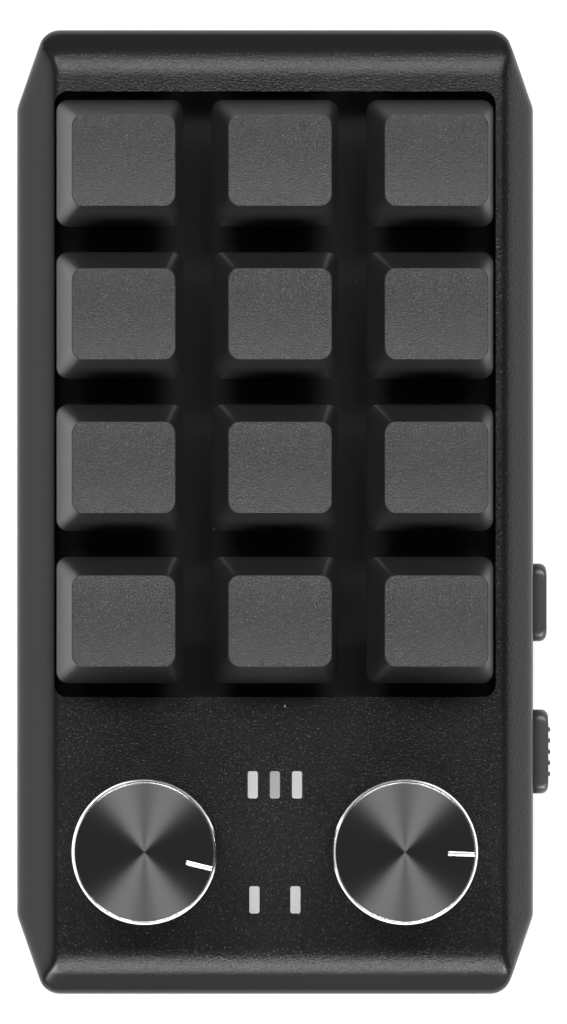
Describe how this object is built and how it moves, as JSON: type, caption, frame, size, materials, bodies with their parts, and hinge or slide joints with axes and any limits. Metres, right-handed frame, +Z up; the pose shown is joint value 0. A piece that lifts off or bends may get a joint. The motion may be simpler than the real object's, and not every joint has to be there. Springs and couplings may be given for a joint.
{
  "type": "macro keypad with knobs",
  "caption": "Black desk keypad: sprung keys in a sunken pocket, turn-and-press knobs, light windows, a side button and a power slider.",
  "frame": {"origin": "on the desk plane, under the middle of the whole with its side controls, feet at z = 0", "axes": "+X across the keypad towards the side with the button and the slider, +Y along it from the knobs to the far row of keys, +Z up"},
  "size_m": [0.0754, 0.136, 0.0397],
  "materials": {
    "case_black": "fine textured moulding, slightly glossy",
    "plate_black": "smooth glossy black",
    "keycap_black": "fine matte grain",
    "stem_red": "smooth moulded",
    "housing_black": "smooth moulded",
    "spring_steel": "drawn wire",
    "knob_black": "black anodised, turned face",
    "shaft_metal": "machined",
    "encoder_metal": "die cast",
    "rotor_white": "smooth moulded",
    "light_clear": "frosted light pipe",
    "control_black": "smooth moulded",
    "board_green": "coated circuit board",
    "battery_foil": "foil pouch",
    "port_metal": "plated shell",
    "switch_black": "moulded",
    "switch_metal": "plated can",
    "screw_black": "blackened",
    "foot_rubber": "matte"
  },
  "bodies": {
    "root": {"bottom_shell": "case_black", "top_shell": "case_black", "switch_plate": "plate_black", "circuit_board": "board_green", "battery": "battery_foil", "charging_port": "port_metal", "light_pipes": "light_clear", "rubber_feet": "foot_rubber", "case_screws": "screw_black", "key_springs": "spring_steel", "button_switch": "switch_black", "slide_switch": "switch_metal", "left_encoder_body": "encoder_metal", "right_encoder_body": "encoder_metal", "switch_housing_r1c1": "housing_black", "switch_housing_r1c2": "housing_black", "switch_housing_r1c3": "housing_black", "switch_housing_r2c1": "housing_black", "switch_housing_r2c2": "housing_black", "switch_housing_r2c3": "housing_black", "switch_housing_r3c1": "housing_black", "switch_housing_r3c2": "housing_black", "switch_housing_r3c3": "housing_black", "switch_housing_r4c1": "housing_black", "switch_housing_r4c2": "housing_black", "switch_housing_r4c3": "housing_black"},
    "key_r1c1": {"keycap_r1c1": "keycap_black", "key_stem_r1c1": "stem_red"},
    "key_r1c2": {"keycap_r1c2": "keycap_black", "key_stem_r1c2": "stem_red"},
    "key_r1c3": {"keycap_r1c3": "keycap_black", "key_stem_r1c3": "stem_red"},
    "key_r2c1": {"keycap_r2c1": "keycap_black", "key_stem_r2c1": "stem_red"},
    "key_r2c2": {"keycap_r2c2": "keycap_black", "key_stem_r2c2": "stem_red"},
    "key_r2c3": {"keycap_r2c3": "keycap_black", "key_stem_r2c3": "stem_red"},
    "key_r3c1": {"keycap_r3c1": "keycap_black", "key_stem_r3c1": "stem_red"},
    "key_r3c2": {"keycap_r3c2": "keycap_black", "key_stem_r3c2": "stem_red"},
    "key_r3c3": {"keycap_r3c3": "keycap_black", "key_stem_r3c3": "stem_red"},
    "key_r4c1": {"keycap_r4c1": "keycap_black", "key_stem_r4c1": "stem_red"},
    "key_r4c2": {"keycap_r4c2": "keycap_black", "key_stem_r4c2": "stem_red"},
    "key_r4c3": {"keycap_r4c3": "keycap_black", "key_stem_r4c3": "stem_red"},
    "left_rotor": {"left_encoder_rotor": "rotor_white"},
    "left_knob": {"left_knob": "knob_black", "left_encoder_shaft": "shaft_metal"},
    "right_rotor": {"right_encoder_rotor": "rotor_white"},
    "right_knob": {"right_knob": "knob_black", "right_encoder_shaft": "shaft_metal"},
    "side_button": {"side_button": "control_black", "button_plunger": "switch_black"},
    "power_slider": {"power_slider": "control_black", "slide_lever": "switch_black"}
  },
  "joints": [
    {"name": "key_r1c1_press", "type": "slide", "parent": "root", "child": "key_r1c1", "axis": [0, 0, 1], "range_m": [-0.004, 0], "stiffness_N_per_m": 75, "springref_m": 0.004, "deforming": ["key_springs"]},
    {"name": "key_r1c2_press", "type": "slide", "parent": "root", "child": "key_r1c2", "axis": [0, 0, 1], "range_m": [-0.004, 0], "stiffness_N_per_m": 75, "springref_m": 0.004, "deforming": ["key_springs"]},
    {"name": "key_r1c3_press", "type": "slide", "parent": "root", "child": "key_r1c3", "axis": [0, 0, 1], "range_m": [-0.004, 0], "stiffness_N_per_m": 75, "springref_m": 0.004, "deforming": ["key_springs"]},
    {"name": "key_r2c1_press", "type": "slide", "parent": "root", "child": "key_r2c1", "axis": [0, 0, 1], "range_m": [-0.004, 0], "stiffness_N_per_m": 75, "springref_m": 0.004, "deforming": ["key_springs"]},
    {"name": "key_r2c2_press", "type": "slide", "parent": "root", "child": "key_r2c2", "axis": [0, 0, 1], "range_m": [-0.004, 0], "stiffness_N_per_m": 75, "springref_m": 0.004, "deforming": ["key_springs"]},
    {"name": "key_r2c3_press", "type": "slide", "parent": "root", "child": "key_r2c3", "axis": [0, 0, 1], "range_m": [-0.004, 0], "stiffness_N_per_m": 75, "springref_m": 0.004, "deforming": ["key_springs"]},
    {"name": "key_r3c1_press", "type": "slide", "parent": "root", "child": "key_r3c1", "axis": [0, 0, 1], "range_m": [-0.004, 0], "stiffness_N_per_m": 75, "springref_m": 0.004, "deforming": ["key_springs"]},
    {"name": "key_r3c2_press", "type": "slide", "parent": "root", "child": "key_r3c2", "axis": [0, 0, 1], "range_m": [-0.004, 0], "stiffness_N_per_m": 75, "springref_m": 0.004, "deforming": ["key_springs"]},
    {"name": "key_r3c3_press", "type": "slide", "parent": "root", "child": "key_r3c3", "axis": [0, 0, 1], "range_m": [-0.004, 0], "stiffness_N_per_m": 75, "springref_m": 0.004, "deforming": ["key_springs"]},
    {"name": "key_r4c1_press", "type": "slide", "parent": "root", "child": "key_r4c1", "axis": [0, 0, 1], "range_m": [-0.004, 0], "stiffness_N_per_m": 75, "springref_m": 0.004, "deforming": ["key_springs"]},
    {"name": "key_r4c2_press", "type": "slide", "parent": "root", "child": "key_r4c2", "axis": [0, 0, 1], "range_m": [-0.004, 0], "stiffness_N_per_m": 75, "springref_m": 0.004, "deforming": ["key_springs"]},
    {"name": "key_r4c3_press", "type": "slide", "parent": "root", "child": "key_r4c3", "axis": [0, 0, 1], "range_m": [-0.004, 0], "stiffness_N_per_m": 75, "springref_m": 0.004, "deforming": ["key_springs"]},
    {"name": "left_knob_turn", "type": "hinge", "parent": "root", "child": "left_rotor", "pos_m": [-0.0191, -0.0467, 0.03], "axis": [0, 0, 1], "continuous": true},
    {"name": "left_knob_press", "type": "slide", "parent": "left_rotor", "child": "left_knob", "axis": [0, 0, 1], "range_m": [-0.0005, 0], "stiffness_N_per_m": 3000, "springref_m": 0.0005},
    {"name": "right_knob_turn", "type": "hinge", "parent": "root", "child": "right_rotor", "pos_m": [0.0167, -0.0467, 0.03], "axis": [0, 0, 1], "continuous": true},
    {"name": "right_knob_press", "type": "slide", "parent": "right_rotor", "child": "right_knob", "axis": [0, 0, 1], "range_m": [-0.0005, 0], "stiffness_N_per_m": 3000, "springref_m": 0.0005},
    {"name": "side_button_press", "type": "slide", "parent": "root", "child": "side_button", "axis": [-1, 0, 0], "range_m": [0, 0.0005], "stiffness_N_per_m": 3000, "springref_m": -0.0003},
    {"name": "power_slide", "type": "slide", "parent": "root", "child": "power_slider", "axis": [0, 1, 0], "range_m": [-0.002, 0]}
  ]
}
